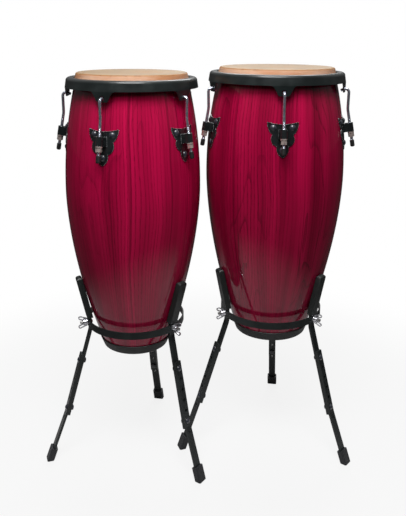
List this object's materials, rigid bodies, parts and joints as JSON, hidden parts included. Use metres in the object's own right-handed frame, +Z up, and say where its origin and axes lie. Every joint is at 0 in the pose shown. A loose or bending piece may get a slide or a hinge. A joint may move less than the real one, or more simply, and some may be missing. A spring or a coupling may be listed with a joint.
{
  "type": "pair of conga drums on stands",
  "caption": "Tapered conga drums with glossy red-stained wooden shells, black rims and hooked tuning rods, each resting in its own cradle stand with splayed bar legs.",
  "frame": {"origin": "on the floor, under the middle of the pair's bounding box", "axes": "+Z up, -Y the side a player stands at and +X from the smaller drum towards the larger one"},
  "size_m": [0.808, 0.515, 1.0264],
  "materials": {
    "stained_wood": "glossy lacquer over red-stained grain",
    "skin": "satin",
    "hoop_steel": "satin",
    "black_rim": "semi-gloss black",
    "black_plate": "semi-gloss black",
    "black_stand": "satin black",
    "black_bolt": "blackened steel",
    "zinc_steel": "zinc plated",
    "hook_chrome": "polished",
    "wing_chrome": "polished",
    "nut_nickel": "nickel plated",
    "black_rubber": "satin",
    "sleeve_rubber": "satin",
    "foot_rubber": "matt"
  },
  "bodies": {
    "quinto_stand": {"quinto_stand_ring": "black_stand", "quinto_arm_sleeves": "sleeve_rubber", "quinto_feet": "foot_rubber", "quinto_leg_bolts": "black_bolt", "quinto_leg_nuts": "black_bolt", "quinto_wing_bolts": "zinc_steel", "quinto_upper_leg_1": "black_stand", "quinto_upper_leg_2": "black_stand", "quinto_upper_leg_3": "black_stand", "quinto_lower_leg_1": "black_stand", "quinto_lower_leg_2": "black_stand", "quinto_lower_leg_3": "black_stand"},
    "quinto_drum": {"quinto_shell": "stained_wood", "quinto_head": "skin", "quinto_flesh_hoop": "hoop_steel", "quinto_rim": "black_rim", "quinto_base_ring": "black_rubber", "quinto_side_plates": "black_plate", "quinto_plate_bolts": "black_bolt", "quinto_plate_nuts": "zinc_steel", "quinto_hooks": "hook_chrome", "quinto_hook_tips": "black_rubber"},
    "conga_stand": {"conga_stand_ring": "black_stand", "conga_arm_sleeves": "sleeve_rubber", "conga_feet": "foot_rubber", "conga_leg_bolts": "black_bolt", "conga_leg_nuts": "black_bolt", "conga_wing_bolts": "zinc_steel", "conga_upper_leg_1": "black_stand", "conga_upper_leg_2": "black_stand", "conga_upper_leg_3": "black_stand", "conga_lower_leg_1": "black_stand", "conga_lower_leg_2": "black_stand", "conga_lower_leg_3": "black_stand"},
    "conga_drum": {"conga_shell": "stained_wood", "conga_head": "skin", "conga_flesh_hoop": "hoop_steel", "conga_rim": "black_rim", "conga_base_ring": "black_rubber", "conga_side_plates": "black_plate", "conga_plate_bolts": "black_bolt", "conga_plate_nuts": "zinc_steel", "conga_hooks": "hook_chrome", "conga_hook_tips": "black_rubber"},
    "quinto_wing_nut_1": {"quinto_wing_nut_1": "wing_chrome"},
    "quinto_wing_nut_2": {"quinto_wing_nut_2": "wing_chrome"},
    "quinto_wing_nut_3": {"quinto_wing_nut_3": "wing_chrome"},
    "quinto_tuning_nut_1": {"quinto_tuning_nut_1": "nut_nickel"},
    "quinto_tuning_nut_2": {"quinto_tuning_nut_2": "nut_nickel"},
    "quinto_tuning_nut_3": {"quinto_tuning_nut_3": "nut_nickel"},
    "quinto_tuning_nut_4": {"quinto_tuning_nut_4": "nut_nickel"},
    "quinto_tuning_nut_5": {"quinto_tuning_nut_5": "nut_nickel"},
    "conga_wing_nut_1": {"conga_wing_nut_1": "wing_chrome"},
    "conga_wing_nut_2": {"conga_wing_nut_2": "wing_chrome"},
    "conga_wing_nut_3": {"conga_wing_nut_3": "wing_chrome"},
    "conga_tuning_nut_1": {"conga_tuning_nut_1": "nut_nickel"},
    "conga_tuning_nut_2": {"conga_tuning_nut_2": "nut_nickel"},
    "conga_tuning_nut_3": {"conga_tuning_nut_3": "nut_nickel"},
    "conga_tuning_nut_4": {"conga_tuning_nut_4": "nut_nickel"},
    "conga_tuning_nut_5": {"conga_tuning_nut_5": "nut_nickel"}
  },
  "joints": [
    {"name": "stand_spacing", "type": "slide", "parent": "quinto_stand", "child": "conga_stand", "axis": [1, 0, 0], "range_m": [0, 0.3]},
    {"name": "quinto_lift_out", "type": "slide", "parent": "quinto_stand", "child": "quinto_drum", "axis": [-0.0436, 0, 0.999], "range_m": [0, 0.25]},
    {"name": "quinto_wing_nut_1_turn", "type": "hinge", "parent": "quinto_stand", "child": "quinto_wing_nut_1", "pos_m": [-0.29328, -0.11714, 0.374], "axis": [-0.9455, -0.3256, 0], "continuous": true},
    {"name": "quinto_wing_nut_2_turn", "type": "hinge", "parent": "quinto_stand", "child": "quinto_wing_nut_2", "pos_m": [-0.06013, -0.15094, 0.374], "axis": [0.8141, -0.5807, 0], "continuous": true},
    {"name": "quinto_wing_nut_3_turn", "type": "hinge", "parent": "quinto_stand", "child": "quinto_wing_nut_3", "pos_m": [-0.14272, 0.05607, 0.374], "axis": [0.1908, 0.9816, 0], "continuous": true},
    {"name": "quinto_tuning_nut_1_turn", "type": "hinge", "parent": "quinto_drum", "child": "quinto_tuning_nut_1", "pos_m": [-0.22708, -0.24755, 0.85001], "axis": [0.056, 0.1644, 0.9848], "continuous": true},
    {"name": "quinto_tuning_nut_2_turn", "type": "hinge", "parent": "quinto_drum", "child": "quinto_tuning_nut_2", "pos_m": [-0.0212, -0.18382, 0.85001], "axis": [-0.139, 0.104, 0.9848], "continuous": true},
    {"name": "quinto_tuning_nut_3_turn", "type": "hinge", "parent": "quinto_drum", "child": "quinto_tuning_nut_3", "pos_m": [-0.01819, 0.03168, 0.85001], "axis": [-0.1419, -0.1001, 0.9848], "continuous": true},
    {"name": "quinto_tuning_nut_4_turn", "type": "hinge", "parent": "quinto_drum", "child": "quinto_tuning_nut_4", "pos_m": [-0.22221, 0.10113, 0.85001], "axis": [0.0513, -0.1659, 0.9848], "continuous": true},
    {"name": "quinto_tuning_nut_5_turn", "type": "hinge", "parent": "quinto_drum", "child": "quinto_tuning_nut_5", "pos_m": [-0.35131, -0.07144, 0.85001], "axis": [0.1736, -0.0024, 0.9848], "continuous": true},
    {"name": "conga_lift_out", "type": "slide", "parent": "conga_stand", "child": "conga_drum", "axis": [0.0175, 0, 0.9998], "range_m": [0, 0.25]},
    {"name": "conga_wing_nut_1_turn", "type": "hinge", "parent": "conga_stand", "child": "conga_wing_nut_1", "pos_m": [0.06487, -0.05453, 0.374], "axis": [-0.9336, -0.3584, 0], "continuous": true},
    {"name": "conga_wing_nut_2_turn", "type": "hinge", "parent": "conga_stand", "child": "conga_wing_nut_2", "pos_m": [0.30639, -0.09235, 0.374], "axis": [0.7793, -0.6266, 0], "continuous": true},
    {"name": "conga_wing_nut_3_turn", "type": "hinge", "parent": "conga_stand", "child": "conga_wing_nut_3", "pos_m": [0.21856, 0.13526, 0.374], "axis": [0.1564, 0.9877, 0], "continuous": true},
    {"name": "conga_tuning_nut_1_turn", "type": "hinge", "parent": "conga_drum", "child": "conga_tuning_nut_1", "pos_m": [0.19616, -0.19873, 0.86161], "axis": [0.0003, 0.1736, 0.9848], "continuous": true},
    {"name": "conga_tuning_nut_2_turn", "type": "hinge", "parent": "conga_drum", "child": "conga_tuning_nut_2", "pos_m": [0.3816, -0.0645, 0.86161], "axis": [-0.1651, 0.0539, 0.9848], "continuous": true},
    {"name": "conga_tuning_nut_3_turn", "type": "hinge", "parent": "conga_drum", "child": "conga_tuning_nut_3", "pos_m": [0.31123, 0.15334, 0.86161], "axis": [-0.1023, -0.1403, 0.9848], "continuous": true},
    {"name": "conga_tuning_nut_4_turn", "type": "hinge", "parent": "conga_drum", "child": "conga_tuning_nut_4", "pos_m": [0.08231, 0.15374, 0.86161], "axis": [0.1018, -0.1407, 0.9848], "continuous": true},
    {"name": "conga_tuning_nut_5_turn", "type": "hinge", "parent": "conga_drum", "child": "conga_tuning_nut_5", "pos_m": [0.0112, -0.06385, 0.86161], "axis": [0.1652, 0.0534, 0.9848], "continuous": true}
  ]
}
